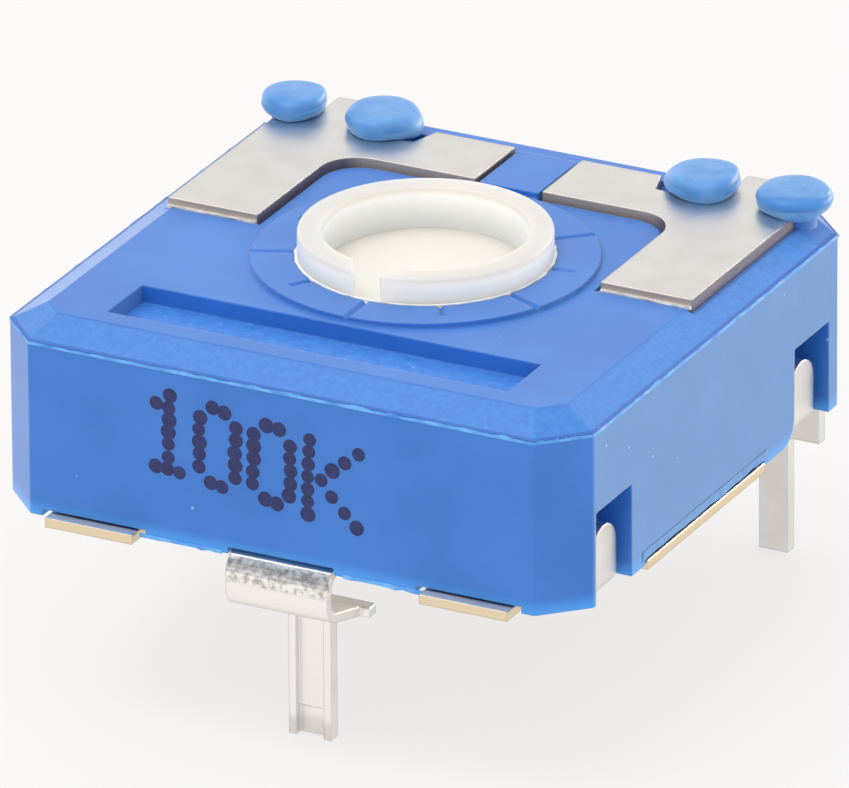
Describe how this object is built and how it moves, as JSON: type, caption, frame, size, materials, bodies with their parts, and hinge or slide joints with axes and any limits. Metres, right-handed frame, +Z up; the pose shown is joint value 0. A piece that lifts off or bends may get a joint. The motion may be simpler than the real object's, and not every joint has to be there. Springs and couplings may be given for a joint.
{
  "type": "trimmer potentiometer",
  "caption": "Square flat-mounting trimmer potentiometer with a cup rotor and arrow notch, staked end terminals, bottom collector plate and formed board pins.",
  "frame": {"origin": "on the rotor's axis, in the plane of the circuit board on which the terminals' shoulders rest", "axes": "+X to the right along the printed wall, +Y from the printed wall towards the end terminals, +Z up along the rotor's axis, out of the cup"},
  "size_m": [0.014, 0.0144, 0.0099],
  "materials": {
    "blue_plastic": "satin moulded",
    "white_plastic": "satin moulded",
    "tinned_sheet": "dull tin plating",
    "laminate": "matt laminate",
    "carbon_film": "matt carbon ink",
    "silver_film": "printed silver",
    "spring_bronze": "rolled spring sheet"
  },
  "bodies": {
    "base": {"housing": "blue_plastic", "left_end_terminal": "tinned_sheet", "right_end_terminal": "tinned_sheet", "collector_plate": "tinned_sheet", "element_board": "laminate", "carbon_track": "carbon_film", "left_end_pad": "silver_film", "right_end_pad": "silver_film"},
    "turner": {"rotor": "white_plastic", "wiper_spring": "spring_bronze"}
  },
  "joints": [
    {"name": "rotor_turn", "type": "hinge", "parent": "base", "child": "turner", "pos_m": [0, 0, 0.006], "axis": [0, 0, 1], "range_deg": [-132.5, 132.5]}
  ]
}
